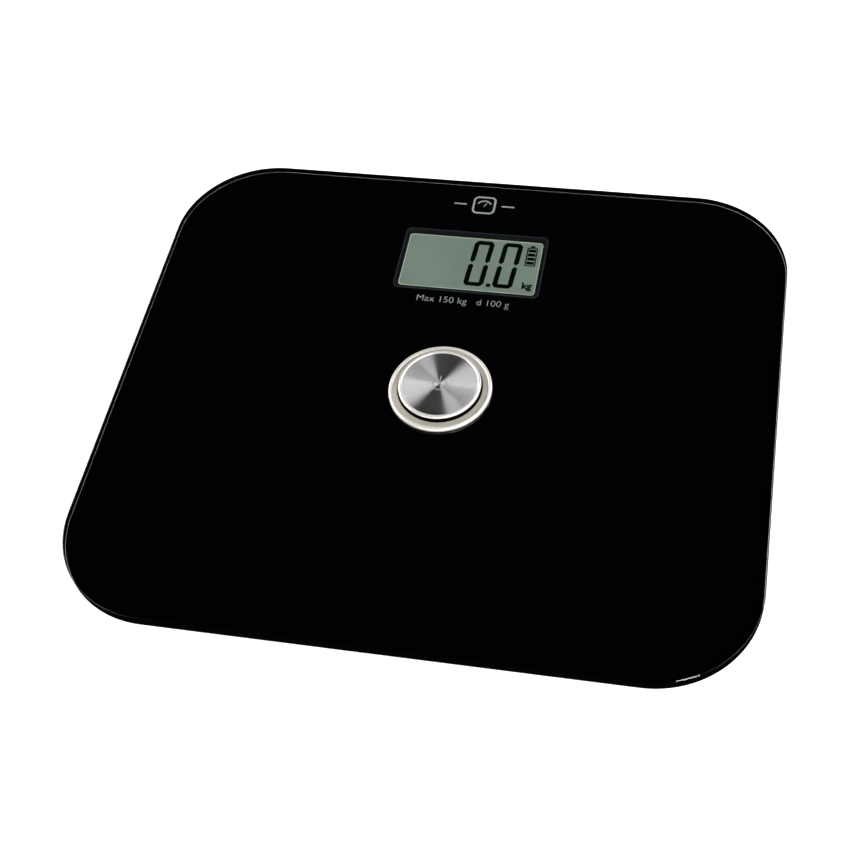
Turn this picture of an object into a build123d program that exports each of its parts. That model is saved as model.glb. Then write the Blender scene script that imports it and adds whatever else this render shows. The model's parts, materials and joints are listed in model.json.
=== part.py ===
"""Battery-free glass bathroom scale with a foot-pressed generator, in millimetres.

Z is up and the rubber feet stand on z = 0. The reading end of the platform is +Y,
and the middle of the press button is at x = 0, y = 0.
"""

import math
import os

from build123d import *

# ---- platform ----
glass_width = 300.0
glass_depth = 260.0
glass_thickness = 6.0
glass_corner = 46.0
glass_arris = 0.4
glass_bottom = 20.0
glass_top = glass_bottom + glass_thickness
print_margin = 0.45
print_thickness = 0.15
tape_thickness = 0.6
tape_width = 6.5
tape_inset = 0.5
button_hole_radius = 21.6

# ---- base tray ----
tray_inset = 14.0
tray_width = glass_width - 2 * tray_inset
tray_depth = glass_depth - 2 * tray_inset
tray_corner = glass_corner - tray_inset
tray_wall = 2.0
tray_lip = 7.5
tray_chamfer = 1.2
tray_bottom = 3.5
tray_floor = tray_bottom + tray_wall
print_bottom = glass_bottom - print_thickness
tray_top = print_bottom - tape_thickness
rib_thickness = 1.6
rib_top = 9.0
cross_rib_y = 34.0
side_rib_x = 74.0
front_rib_x = 26.0
boss_radius = 3.3
pilot_radius = 1.1
retainer_pilot_depth = 6.0
board_pilot_depth = 5.0
chassis_pilot_depth = 2.8

# ---- feet and load cells ----
corner_x = 100.0
corner_y = 80.0
pad_radius = 20.0
pad_thickness = 3.0
pad_chamfer = 0.6
pad_groove_radii = (6.0, 11.0, 16.0)
pad_groove_width = 1.2
pad_groove_depth = 0.5
cup_radius = 23.0
cup_rim_bottom = 1.8
cup_floor_top = 5.0
cup_wall_inner = 21.2
cup_chamfer = 0.8
pad_fit = 0.1
cup_top = 9.2
cup_gap = 0.5
cell_size = 34.0
cell_corner_cut = 5.0
cell_slot = (-2.5, 21.0, 17.0)
cell_tongue = (-1.0, 20.0, 12.0)
cell_tongue_room = 12.0
cell_bottom = 6.5
cell_thickness = 2.5
cell_top = cell_bottom + cell_thickness
gauge_thickness = 0.4
gauge_x = 10.0
gauge_size = (7.0, 5.0)
retainer_size = 47.0
retainer_thickness = 2.2
retainer_bottom = 13.0
retainer_screw = 19.1
retainer_corner = 5.0
retainer_rib_length = 30.0
retainer_rib_height = 2.0
stud_x = -2.0
stud_radius = 4.0
screw_clearance = 0.3
screw_head_radius = 2.6
screw_head_height = 1.5
screw_slot = (2.6, 0.6)
screw_slot_depth = 0.7
lead_radius = 0.8
lead_height = cell_top + gauge_thickness + lead_radius
lead_start_x = 8.0
lead_exit_x = 20.0
lead_bend = 6.0

# ---- display and electronics ----
window_width = 70.8
window_depth = 38.5
window_corner = 3.0
window_y = 79.5
lcd_view_width = 67.0
lcd_view_depth = 33.8
lcd_view_y = 78.9
lcd_width = 70.0
lcd_depth = 37.4
housing_width = 78.0
housing_depth = 46.0
housing_rim = 0.45
housing_y = 79.0
housing_corner = 2.0
lcd_fit = 0.1
lcd_seat = 0.5
polarizer_inset = 0.2
polarizer_thickness = 0.2
lcd_thickness = 2.2
reflector_thickness = 0.3
board_width = 112.0
board_depth = 54.0
board_x = 8.0
board_y = 79.0
board_bottom = 11.0
board_thickness = 1.6
board_top = board_bottom + board_thickness
board_hole_inset = 4.0
board_corner = 1.5
zebra_width = 60.0
zebra_thickness = 2.0
chip_x = 5.0
chip_radius = 7.0
chip_height = 1.5
chip_round = 1.0
capacitor_place = (51.0, 72.0)
capacitor_radius = 3.1
capacitor_length = 14.0
capacitor_round = 0.5
component_height = 1.1
rectifier_parts = [(45, 62, 4, 5), (52, 64, 3, 3), (45, 96, 5, 4), (52, 95, 3, 2)]
chip_parts = [(58, y, 2, 1.2) for y in (66, 69, 89, 92)]

# ---- press button ----
ring_outer_radius = 23.5
ring_bead_width = 1.9
ring_bead_round = 0.75
ring_bead_rise = 0.2
ring_dish = 0.25
ring_bore_chamfer = 0.35
ring_bore_radius = 19.2
ring_sleeve_radius = 21.2
ring_sleeve_bottom = 17.4
ring_step_radius = 19.9
ring_step_z = 25.0
seal_thickness = 0.4
seal_inset = 0.5
nut_radius = 25.0
nut_notches = 6
nut_notch = (2.0, 3.0)
ring_flange_top = glass_top + 1.9
cap_radius = 18.8
cap_top = glass_top + 4.9
cap_disc_radius = 17.2
cap_disc_drop = 0.3
cap_lip_middle = 17.89
cap_lip_side = 0.7
cap_rim_height = 1.2
cap_skin = 0.8
cap_wall = 0.8
carrier_thickness = 2.6
carrier_bottom = cap_top - cap_skin - carrier_thickness
skirt_radius = 17.9
skirt_wall = 0.9
skirt_bottom = 24.0
skirt_flange = 0.9
skirt_play = 0.2
sign_radius = 3.5
sign_line = 0.7
sign_gap = 2.6
sign_depth = 0.25
running_gap = 0.08
spring_stud_length = 3.0

# ---- generator mechanism ----
gear_module = 0.4
pressure_angle = math.radians(28)
pinion_teeth = 10
wheel_teeth = 24
tooth_slack = 0.06
addendum = 0.9 * gear_module
dedendum = 1.2 * gear_module
pinion_pitch = gear_module * pinion_teeth / 2
wheel_pitch = gear_module * wheel_teeth / 2
centre_distance = pinion_pitch + wheel_pitch
axle_z = 11.3
axle_radius = 0.6
rack_pitch_x = 11.0
first_axle_x = rack_pitch_x + pinion_pitch
axle_xs = [first_axle_x + centre_distance * step for step in range(3)]
rotor_x = first_axle_x + 3 * centre_distance
rack_y = (-6.2, -3.2)
rack_back = 2.4
rack_teeth = 5
rack_guide = 1.4
pinion_ys = [(-5.9, -2.8), (-3.0, -0.6), (-0.8, 1.6)]
wheel_ys = [(-2.8, -1.2), (-0.6, 1.0), (1.6, 3.2)]
rotor_pinion_y = (1.4, 3.4)
chassis_bottom = 7.5
chassis_plate = 1.2
chassis_top = 16.8
chassis_x = (-21.0, 46.0)
chassis_y = (-15.0, 20.0)
front_wall_y = (-7.4, -6.4)
rear_wall_y = (3.6, 4.6)
wall_thickness = 1.0
wall_overrun = 3.0
chassis_corner = 3.0
spring_seat_height = 2.0
shaft_hole_radius = 1.4
axle_play = 0.05
gear_cover_thickness = 0.4
gear_cover_gap = 0.6
gear_well_overrun = 4.0
leg_size = 3.0
leg_socket_wall = 1.5
leg_bottom = 9.9
leg_places = [(-11.0, -8.0), (-11.0, 8.0), (8.5, 10.5)]
can_radius = 5.4
can_y = (4.6, 15.6)
can_wall = 0.4
end_cap_thickness = 1.4
can_floor = 1.0
magnet_radius = 3.2
coil_inner = 3.5
coil_y = (6.0, 14.6)
spring_radius = 5.0
spring_wire = 0.5
spring_turns = 6
spring_seat_radius = 4.1

# ---- unit key ----
key_place = (-30.0, 66.0)
key_radius = 3.0
key_flange_radius = 4.2
key_bottom = 3.1
key_stem_top = 6.9
switch_size = 6.0
switch_bottom = 7.7
switch_stem_radius = 1.7
switch_hole_depth = 1.6
switch_stem_depth = 0.9
key_round = 0.4
key_flange_thickness = 0.8
key_flange_gap = 0.1

corners = {
    "front_left": (-corner_x, -corner_y, 90),
    "front_right": (corner_x, -corner_y, 90),
    "rear_left": (-corner_x, corner_y, 0),
    "rear_right": (corner_x, corner_y, 180),
}
screw_offsets = [(sx * retainer_screw, sy * retainer_screw) for sx in (-1, 1) for sy in (-1, 1)]
retainer_holes = [(x + dx, y + dy) for x, y, _ in corners.values() for dx, dy in screw_offsets]
board_holes = [
    (board_x + sx * (board_width / 2 - board_hole_inset), board_y + sy * (board_depth / 2 - board_hole_inset))
    for sx in (-1, 1)
    for sy in (-1, 1)
]
chassis_inset = 3.5
chassis_holes = [
    (x, y)
    for x in (chassis_x[0] + chassis_inset, chassis_x[1] - chassis_inset)
    for y in (chassis_y[0] + chassis_inset, chassis_y[1] - chassis_inset)
]


def save(piece, name):
    """Labels a finished piece and writes its STEP file."""
    piece.part.label = name
    export_step(piece.part, f"parts/{name}.step")


def upright(x, y, z):
    """A plane that faces the front, whose own x runs along X and whose y runs up."""
    return Plane(origin=(x, y, z), x_dir=(1, 0, 0), z_dir=(0, -1, 0))


def corner_plane(corner, z):
    """A level plane on a foot's middle, whose x points the way its lead leaves."""
    x, y, turn = corners[corner]
    facing = (math.cos(math.radians(turn)), math.sin(math.radians(turn)), 0)
    return Plane(origin=(x, y, z), x_dir=facing, z_dir=(0, 0, 1))


def centre(span):
    return (span[0] + span[1]) / 2


# ======== platform ========


def make_glass_platform():
    """Tempered plate with ground edges and the hole for the button ring."""
    with BuildPart() as glass_platform:
        with BuildSketch(Plane.XY.offset(glass_bottom)):
            RectangleRounded(glass_width, glass_depth, glass_corner)
            Circle(button_hole_radius, mode=Mode.SUBTRACT)
        extrude(amount=glass_thickness)
        outer_edges = [
            edge
            for face in glass_platform.faces().filter_by(Axis.Z)
            for edge in face.outer_wire().edges()
        ]
        chamfer(outer_edges, glass_arris)
    save(glass_platform, "glass_platform")


def make_screen_print():
    """Black ink on the underside of the glass, left open over the display."""
    with BuildPart() as screen_print:
        with BuildSketch(Plane.XY.offset(print_bottom)):
            RectangleRounded(
                glass_width - 2 * print_margin, glass_depth - 2 * print_margin, glass_corner - print_margin
            )
            Circle(button_hole_radius, mode=Mode.SUBTRACT)
            with Locations((0, window_y)):
                RectangleRounded(window_width, window_depth, window_corner, mode=Mode.SUBTRACT)
        extrude(amount=print_thickness)
    save(screen_print, "screen_print")


def make_platform_tape():
    """Double-sided foam tape that bonds the glass to the tray's rim."""
    with BuildPart() as platform_tape:
        with BuildSketch(Plane.XY.offset(tray_top)):
            RectangleRounded(
                tray_width - 2 * tape_inset, tray_depth - 2 * tape_inset, tray_corner - tape_inset
            )
            offset(amount=-tape_width, kind=Kind.INTERSECTION, mode=Mode.SUBTRACT)
        extrude(amount=tape_thickness)
    save(platform_tape, "platform_tape")


# ======== base tray ========


def make_base_tray():
    """Ribbed moulded tray that carries the glass, the mechanism and the four feet."""
    with BuildPart() as base_tray:
        with BuildSketch(Plane.XY.offset(tray_bottom)):
            RectangleRounded(tray_width, tray_depth, tray_corner)
        extrude(amount=tray_top - tray_bottom)
        chamfer(base_tray.faces().sort_by(Axis.Z)[0].edges(), tray_chamfer)
        with BuildSketch(Plane.XY.offset(tray_floor)):
            RectangleRounded(tray_width - 2 * tray_wall, tray_depth - 2 * tray_wall, tray_corner - tray_wall)
        extrude(amount=tray_top - tray_wall - tray_floor, mode=Mode.SUBTRACT)
        with BuildSketch(Plane.XY.offset(tray_top)):
            RectangleRounded(tray_width - 2 * tray_lip, tray_depth - 2 * tray_lip, tray_corner - tray_lip)
        extrude(amount=-tray_wall - 1, mode=Mode.SUBTRACT)
        # stiffening ribs
        with BuildSketch(Plane.XY.offset(tray_floor)):
            with Locations((0, cross_rib_y), (0, -cross_rib_y)):
                Rectangle(tray_width - 2 * tray_wall, rib_thickness)
            with Locations((side_rib_x, 0), (-side_rib_x, 0)):
                Rectangle(rib_thickness, tray_depth - 2 * tray_wall)
            front_rib_length = tray_depth / 2 - tray_wall - cross_rib_y
            with Locations((front_rib_x, -cross_rib_y), (-front_rib_x, -cross_rib_y)):
                Rectangle(rib_thickness, front_rib_length, align=(Align.CENTER, Align.MAX))
        extrude(amount=rib_top - tray_floor)
        # screw bosses for the retainers, the circuit board and the generator chassis
        with BuildSketch(Plane.XY.offset(tray_floor)):
            with Locations(*retainer_holes):
                Circle(boss_radius)
        extrude(amount=retainer_bottom - tray_floor)
        with BuildSketch(Plane.XY.offset(tray_floor)):
            with Locations(*board_holes):
                Circle(boss_radius)
        extrude(amount=board_bottom - tray_floor)
        with BuildSketch(Plane.XY.offset(tray_floor)):
            with Locations(*chassis_holes):
                Circle(boss_radius)
        extrude(amount=chassis_bottom - tray_floor)
        # wells for the feet, clear of the ribs
        with BuildSketch(Plane.XY.offset(tray_bottom)):
            with Locations(*[(x, y) for x, y, _ in corners.values()]):
                Circle(cup_radius + cup_gap)
        extrude(amount=rib_top - tray_bottom, mode=Mode.SUBTRACT)
        # pilot holes in the bosses
        with BuildSketch(Plane.XY.offset(retainer_bottom)):
            with Locations(*retainer_holes):
                Circle(pilot_radius)
        extrude(amount=-retainer_pilot_depth, mode=Mode.SUBTRACT)
        with BuildSketch(Plane.XY.offset(board_bottom)):
            with Locations(*board_holes):
                Circle(pilot_radius)
        extrude(amount=-board_pilot_depth, mode=Mode.SUBTRACT)
        with BuildSketch(Plane.XY.offset(chassis_bottom)):
            with Locations(*chassis_holes):
                Circle(pilot_radius)
        extrude(amount=-chassis_pilot_depth, mode=Mode.SUBTRACT)
        # hole for the unit key
        with BuildSketch(Plane.XY.offset(tray_bottom)):
            with Locations(key_place):
                Circle(key_radius + running_gap)
        extrude(amount=tray_wall, mode=Mode.SUBTRACT)
    save(base_tray, "base_tray")


# ======== feet and load cells ========


def make_foot_pad(corner):
    """Rubber disc with shallow grip rings."""
    with BuildPart() as foot_pad:
        with BuildSketch(corner_plane(corner, 0)):
            Circle(pad_radius)
        extrude(amount=pad_thickness)
        chamfer(foot_pad.faces().sort_by(Axis.Z)[0].edges(), pad_chamfer)
        with BuildSketch(corner_plane(corner, 0)):
            for radius in pad_groove_radii:
                Circle(radius)
                Circle(radius - pad_groove_width, mode=Mode.SUBTRACT)
        extrude(amount=pad_groove_depth, mode=Mode.SUBTRACT)
    save(foot_pad, f"foot_pad_{corner}")


def make_foot_cup(corner):
    """Round foot that holds the pad below and the load cell's frame above."""
    with BuildPart() as foot_cup:
        with BuildSketch(corner_plane(corner, cup_rim_bottom)):
            Circle(cup_radius)
        extrude(amount=cup_top - cup_rim_bottom)
        chamfer(foot_cup.faces().sort_by(Axis.Z)[0].edges(), cup_chamfer)
        with BuildSketch(corner_plane(corner, cup_rim_bottom)):
            Circle(pad_radius + pad_fit)
        extrude(amount=pad_thickness - cup_rim_bottom, mode=Mode.SUBTRACT)
        with BuildSketch(corner_plane(corner, cell_bottom)):
            Circle(cup_wall_inner)
        extrude(amount=cup_top - cell_bottom, mode=Mode.SUBTRACT)
        with BuildSketch(corner_plane(corner, cup_floor_top)):
            Rectangle(cell_size - cell_tongue_room, cell_size - cell_tongue_room)
        extrude(amount=cell_bottom - cup_floor_top, mode=Mode.SUBTRACT)
    save(foot_cup, f"foot_cup_{corner}")


def make_load_cell(corner):
    """Pressed steel half-bridge cell: a square frame with one bending tongue."""
    with BuildPart() as load_cell:
        with BuildSketch(corner_plane(corner, cell_bottom)) as outline:
            Rectangle(cell_size, cell_size)
            chamfer(outline.vertices(), cell_corner_cut)
            with Locations((cell_slot[0], 0)):
                Rectangle(*cell_slot[1:], mode=Mode.SUBTRACT)
            with Locations((cell_tongue[0], 0)):
                Rectangle(*cell_tongue[1:])
        extrude(amount=cell_thickness)
    save(load_cell, f"load_cell_{corner}")


def make_strain_gauges():
    """Foil gauges under pads of potting, one at the root of each tongue."""
    with BuildPart() as strain_gauges:
        for corner in corners:
            with BuildSketch(corner_plane(corner, cell_top)):
                with Locations((gauge_x, 0)):
                    RectangleRounded(*gauge_size, 1)
            extrude(amount=gauge_thickness)
    save(strain_gauges, "strain_gauges")


def make_load_cell_retainer(corner):
    """Moulded plate on four bosses; its stud bears on the load cell's tongue."""
    with BuildPart() as retainer:
        with BuildSketch(corner_plane(corner, retainer_bottom)):
            RectangleRounded(retainer_size, retainer_size, retainer_corner)
            with Locations(*screw_offsets):
                Circle(pilot_radius + screw_clearance, mode=Mode.SUBTRACT)
        extrude(amount=retainer_thickness)
        with BuildSketch(corner_plane(corner, retainer_bottom)):
            with Locations((stud_x, 0)):
                Circle(stud_radius)
        extrude(amount=cell_top - retainer_bottom)
        with BuildSketch(corner_plane(corner, retainer_bottom + retainer_thickness)):
            Rectangle(retainer_rib_length, rib_thickness)
            Rectangle(rib_thickness, retainer_rib_length)
        extrude(amount=retainer_rib_height)
    save(retainer, f"load_cell_retainer_{corner}")


def make_cell_lead(corner, inner_points):
    """Three-core lead from one strain gauge to the underside of the board."""
    start = corner_plane(corner, lead_height).from_local_coords(Vector(lead_start_x, 0, 0))
    first = corner_plane(corner, lead_height).from_local_coords(Vector(lead_exit_x, 0, 0))
    points = [start, first] + [Vector(x, y, lead_height) for x, y in inner_points]
    with BuildPart() as cell_lead:
        with BuildLine() as route:
            FilletPolyline(*points, radius=lead_bend)
        with BuildSketch(Plane(origin=route.line @ 0, z_dir=route.line % 0)):
            Circle(lead_radius)
        sweep()
    save(cell_lead, f"cell_lead_{corner}")


# ======== screws ========


def make_screws(name, places, seat, length):
    """A set of pan-head screws whose heads stand on z = seat."""
    with BuildPart() as screws:
        with BuildSketch(Plane.XY.offset(seat)):
            with Locations(*places):
                Circle(screw_head_radius)
        extrude(amount=screw_head_height)
        with BuildSketch(Plane.XY.offset(seat)):
            with Locations(*places):
                Circle(pilot_radius)
        extrude(amount=-length)
        with BuildSketch(Plane.XY.offset(seat + screw_head_height)):
            with Locations(*places):
                Rectangle(*screw_slot)
                Rectangle(*reversed(screw_slot))
        extrude(amount=-screw_slot_depth, mode=Mode.SUBTRACT)
    save(screws, name)


# ======== display and electronics ========


def make_display_housing():
    """Dark frame that holds the LCD up against the glass, seen as a thin border."""
    with BuildPart() as display_housing:
        with BuildSketch(Plane.XY.offset(board_top)):
            with Locations((0, housing_y)):
                RectangleRounded(housing_width, housing_depth, housing_corner)
                Rectangle(lcd_width + 2 * lcd_fit, lcd_depth + 2 * lcd_fit, mode=Mode.SUBTRACT)
        extrude(amount=print_bottom - board_top)
        with BuildSketch(Plane.XY.offset(print_bottom)):
            with Locations((0, housing_y)):
                Rectangle(lcd_width + 2 * lcd_seat, lcd_depth + 2 * lcd_seat)
            with Locations((0, lcd_view_y)):
                Rectangle(lcd_view_width, lcd_view_depth, mode=Mode.SUBTRACT)
        extrude(amount=-housing_rim)
    save(display_housing, "display_housing")


def make_lcd_stack():
    """Reflector, liquid-crystal cell and front polarizer, each its own sheet."""
    polarizer_top = print_bottom - housing_rim
    lcd_top = polarizer_top - polarizer_thickness
    lcd_bottom = lcd_top - lcd_thickness
    with BuildPart() as lcd_polarizer:
        with BuildSketch(Plane.XY.offset(lcd_top)):
            with Locations((0, housing_y)):
                Rectangle(lcd_width - 2 * polarizer_inset, lcd_depth - 2 * polarizer_inset)
        extrude(amount=polarizer_thickness)
    save(lcd_polarizer, "lcd_polarizer")
    with BuildPart() as lcd_cell:
        with BuildSketch(Plane.XY.offset(lcd_bottom)):
            with Locations((0, housing_y)):
                Rectangle(lcd_width, lcd_depth)
        extrude(amount=lcd_thickness)
    save(lcd_cell, "lcd_cell")
    with BuildPart() as lcd_reflector:
        with BuildSketch(Plane.XY.offset(lcd_bottom)):
            with Locations((0, housing_y)):
                Rectangle(lcd_width - 2 * lcd_seat, lcd_depth - 2 * zebra_thickness - 2 * lcd_seat)
        extrude(amount=-reflector_thickness)
    save(lcd_reflector, "lcd_reflector")
    with BuildPart() as zebra_strips:
        with BuildSketch(Plane.XY.offset(board_top)):
            for side in (-1, 1):
                with Locations((0, housing_y + side * (lcd_depth / 2 - zebra_thickness / 2))):
                    Rectangle(zebra_width, zebra_thickness)
        extrude(amount=lcd_bottom - board_top)
    save(zebra_strips, "zebra_strips")


def make_main_board():
    with BuildPart() as main_board:
        with BuildSketch(Plane.XY.offset(board_bottom)):
            with Locations((board_x, board_y)):
                RectangleRounded(board_width, board_depth, board_corner)
            with Locations(*board_holes):
                Circle(pilot_radius + screw_clearance, mode=Mode.SUBTRACT)
        extrude(amount=board_thickness)
    save(main_board, "main_board")


def make_controller_chip():
    """Chip-on-board controller under a round drop of epoxy, below the board."""
    with BuildPart() as controller_chip:
        with BuildSketch(Plane.XY.offset(board_bottom)):
            with Locations((chip_x, board_y)):
                Circle(chip_radius)
        extrude(amount=-chip_height)
        fillet(controller_chip.faces().sort_by(Axis.Z)[0].edges(), chip_round)
    save(controller_chip, "controller_chip")


def make_reservoir_capacitor():
    """Storage capacitor that holds the charge from a few presses."""
    with BuildPart() as reservoir_capacitor:
        with BuildSketch(upright(*capacitor_place, board_top + capacitor_radius)):
            Circle(capacitor_radius)
        extrude(amount=-capacitor_length)
        fillet(reservoir_capacitor.edges().filter_by(GeomType.CIRCLE), capacitor_round)
    save(reservoir_capacitor, "reservoir_capacitor")


def make_board_components():
    """Bridge rectifier, regulator and small chip parts on the board's top."""
    with BuildPart() as board_components:
        for x, y, width, depth in rectifier_parts + chip_parts:
            with BuildSketch(Plane.XY.offset(board_top)):
                with Locations((x, y)):
                    Rectangle(width, depth)
            extrude(amount=component_height)
    save(board_components, "board_components")


# ======== unit key ========


def make_unit_key():
    """Small key on the underside that changes the unit of the reading."""
    with BuildPart() as unit_key:
        with BuildSketch(Plane.XY.offset(key_bottom)):
            with Locations(key_place):
                Circle(key_radius)
        extrude(amount=key_stem_top - key_bottom)
        fillet(unit_key.faces().sort_by(Axis.Z)[0].edges(), key_round)
        with BuildSketch(Plane.XY.offset(tray_floor + key_flange_gap)):
            with Locations(key_place):
                Circle(key_flange_radius)
        extrude(amount=key_flange_thickness)
    save(unit_key, "unit_key")


def make_unit_switch():
    """Tact switch soldered under the board; its stem rides on the key."""
    with BuildPart() as unit_switch_body:
        with BuildSketch(Plane.XY.offset(switch_bottom)):
            with Locations(key_place):
                Rectangle(switch_size, switch_size)
        extrude(amount=board_bottom - switch_bottom)
        with BuildSketch(Plane.XY.offset(switch_bottom)):
            with Locations(key_place):
                Circle(switch_stem_radius + running_gap)
        extrude(amount=switch_hole_depth, mode=Mode.SUBTRACT)
    save(unit_switch_body, "unit_switch_body")
    with BuildPart() as unit_switch_stem:
        with BuildSketch(Plane.XY.offset(key_stem_top)):
            with Locations(key_place):
                Circle(switch_stem_radius)
        extrude(amount=switch_bottom + switch_stem_depth - key_stem_top)
    save(unit_switch_stem, "unit_switch_stem")


# ======== press button ========


def make_button_ring():
    """Turned trim ring: a dished flange with a rolled outer bead on a threaded sleeve."""
    flange_bottom = glass_top + seal_thickness
    bead_start = (ring_outer_radius - ring_bead_width, ring_flange_top - ring_dish)
    bead_crest = (ring_outer_radius - ring_bead_round, ring_flange_top + ring_bead_rise)
    bead_end = (ring_outer_radius, ring_flange_top - ring_bead_round)
    with BuildPart() as button_ring:
        with BuildSketch(Plane.XZ):
            with BuildLine():
                Polyline(
                    (ring_bore_radius, ring_step_z),
                    (ring_bore_radius, ring_flange_top - ring_bore_chamfer),
                    (ring_bore_radius + ring_bore_chamfer, ring_flange_top),
                    bead_start,
                )
                ThreePointArc(bead_start, bead_crest, bead_end)
                Polyline(
                    bead_end,
                    (ring_outer_radius, flange_bottom),
                    (ring_sleeve_radius, flange_bottom),
                    (ring_sleeve_radius, ring_sleeve_bottom),
                    (ring_step_radius, ring_sleeve_bottom),
                    (ring_step_radius, ring_step_z),
                    (ring_bore_radius, ring_step_z),
                )
            make_face()
        revolve(axis=Axis.Z)
    save(button_ring, "button_ring")


def make_ring_seal():
    with BuildPart() as ring_seal:
        with BuildSketch(Plane.XY.offset(glass_top)):
            Circle(ring_outer_radius - seal_inset)
            Circle(ring_sleeve_radius, mode=Mode.SUBTRACT)
        extrude(amount=seal_thickness)
    save(ring_seal, "ring_seal")


def make_ring_nut():
    """Thin ring nut that clamps the glass between itself and the flange."""
    with BuildPart() as ring_nut:
        with BuildSketch(Plane.XY.offset(ring_sleeve_bottom)):
            Circle(nut_radius)
            Circle(ring_sleeve_radius, mode=Mode.SUBTRACT)
            with PolarLocations(nut_radius, nut_notches):
                Rectangle(*nut_notch, mode=Mode.SUBTRACT)
        extrude(amount=print_bottom - ring_sleeve_bottom)
    save(ring_nut, "ring_nut")


def make_button_cap():
    """Pressed metal cap with a rounded lip, a flat brushed disc and an engraved power sign."""
    disc_top = cap_top - cap_disc_drop
    with BuildPart() as button_cap:
        with BuildSketch(Plane.XZ):
            with BuildLine():
                Line((0, disc_top), (cap_disc_radius, disc_top))
                ThreePointArc(
                    (cap_disc_radius, disc_top), (cap_lip_middle, cap_top), (cap_radius, cap_top - cap_lip_side)
                )
                Polyline(
                    (cap_radius, cap_top - cap_lip_side),
                    (cap_radius, cap_top - cap_rim_height),
                    (cap_radius - cap_wall, cap_top - cap_rim_height),
                    (cap_radius - cap_wall, cap_top - cap_skin),
                    (0, cap_top - cap_skin),
                    (0, disc_top),
                )
            make_face()
        revolve(axis=Axis.Z)
        with BuildSketch(Plane.XY.offset(disc_top)):
            Circle(sign_radius)
            Circle(sign_radius - sign_line, mode=Mode.SUBTRACT)
            with Locations((0, sign_radius)):
                Rectangle(sign_gap, sign_radius, mode=Mode.SUBTRACT)
            with Locations((0, 0.75 * sign_radius)):
                Rectangle(sign_line, sign_radius)
        extrude(amount=-sign_depth, mode=Mode.SUBTRACT)
    save(button_cap, "button_cap")


def make_button_plunger():
    """Moulded carrier under the cap: a skirt, three guide legs, a spring stud and the rack."""
    with BuildPart() as button_plunger:
        with BuildSketch(Plane.XY.offset(carrier_bottom)):
            Circle(skirt_radius)
        extrude(amount=carrier_thickness)
        with BuildSketch(Plane.XY.offset(skirt_bottom)):
            Circle(skirt_radius)
            Circle(skirt_radius - skirt_wall, mode=Mode.SUBTRACT)
        extrude(amount=carrier_bottom - skirt_bottom)
        with BuildSketch(Plane.XY.offset(skirt_bottom)):
            Circle(ring_step_radius - skirt_play)
            Circle(skirt_radius - skirt_wall, mode=Mode.SUBTRACT)
        extrude(amount=skirt_flange)
        with BuildSketch(Plane.XY.offset(carrier_bottom)):
            Circle(spring_seat_radius)
        extrude(amount=-spring_stud_length)
        with BuildSketch(Plane.XY.offset(leg_bottom)):
            with Locations(*leg_places):
                Rectangle(leg_size, leg_size)
        extrude(amount=carrier_bottom - leg_bottom)
        rack_root = rack_pitch_x - dedendum
        rack_depth = rack_y[1] - rack_y[0]
        with BuildSketch(Plane.XY.offset(leg_bottom)):
            with Locations((rack_root, centre(rack_y))):
                Rectangle(rack_back, rack_depth, align=(Align.MAX, Align.CENTER))
        extrude(amount=carrier_bottom - leg_bottom)
        pitch = math.pi * gear_module
        half = (pitch / 2 - tooth_slack) / 2
        rise = math.tan(pressure_angle)
        for step in range(rack_teeth):
            middle = axle_z + step * pitch
            with BuildSketch(upright(0, rack_y[0], 0)):
                with BuildLine():
                    Polyline(
                        (rack_root - 0.5, middle - half - dedendum * rise),
                        (rack_root, middle - half - dedendum * rise),
                        (rack_pitch_x + addendum, middle - half + addendum * rise),
                        (rack_pitch_x + addendum, middle + half - addendum * rise),
                        (rack_root, middle + half + dedendum * rise),
                        (rack_root - 0.5, middle + half + dedendum * rise),
                        close=True,
                    )
                make_face()
            extrude(amount=-rack_depth)
    save(button_plunger, "button_plunger")


def make_return_spring():
    """Compression spring between the chassis seat and the plunger."""
    seat = chassis_bottom + chassis_plate
    height = carrier_bottom - seat - 2 * spring_wire
    with BuildPart() as return_spring:
        with BuildLine() as coil:
            Helix(height / spring_turns, height, spring_radius, center=(0, 0, seat + spring_wire))
        with BuildSketch(Plane(origin=coil.line @ 0, z_dir=coil.line % 0)):
            Circle(spring_wire)
        sweep(is_frenet=True)
    save(return_spring, "return_spring")


# ======== gear train and generator ========


def involute(angle):
    return math.tan(angle) - angle


def draw_gear(teeth, first_tooth):
    """Draws one involute gear on the open sketch, its first tooth at an angle in degrees."""
    pitch_radius = gear_module * teeth / 2
    base_radius = pitch_radius * math.cos(pressure_angle)
    tip_radius = pitch_radius + addendum
    root_radius = pitch_radius - dedendum
    half_tooth = (math.pi * gear_module / 2 - tooth_slack) / 2 / pitch_radius
    start_radius = max(base_radius, root_radius)
    flank = []
    for step in range(5):
        radius = start_radius + (tip_radius - start_radius) * step / 4
        angle = half_tooth + involute(pressure_angle) - involute(math.acos(base_radius / radius))
        flank.append((radius * math.cos(angle), radius * math.sin(angle)))
    foot = (root_radius * 0.9 * flank[0][0] / start_radius, root_radius * 0.9 * flank[0][1] / start_radius)
    Circle(root_radius)
    with PolarLocations(0, teeth, start_angle=first_tooth):
        with BuildSketch(mode=Mode.PRIVATE) as tooth:
            with BuildLine():
                Line(foot, flank[0])
                Spline(*flank)
                ThreePointArc(flank[-1], (tip_radius, 0), (flank[-1][0], -flank[-1][1]))
                Spline(*[(x, -y) for x, y in reversed(flank)])
                Line((flank[0][0], -flank[0][1]), (foot[0], -foot[1]))
                Line((foot[0], -foot[1]), foot)
            make_face()
        add(tooth.sketch)


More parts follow.
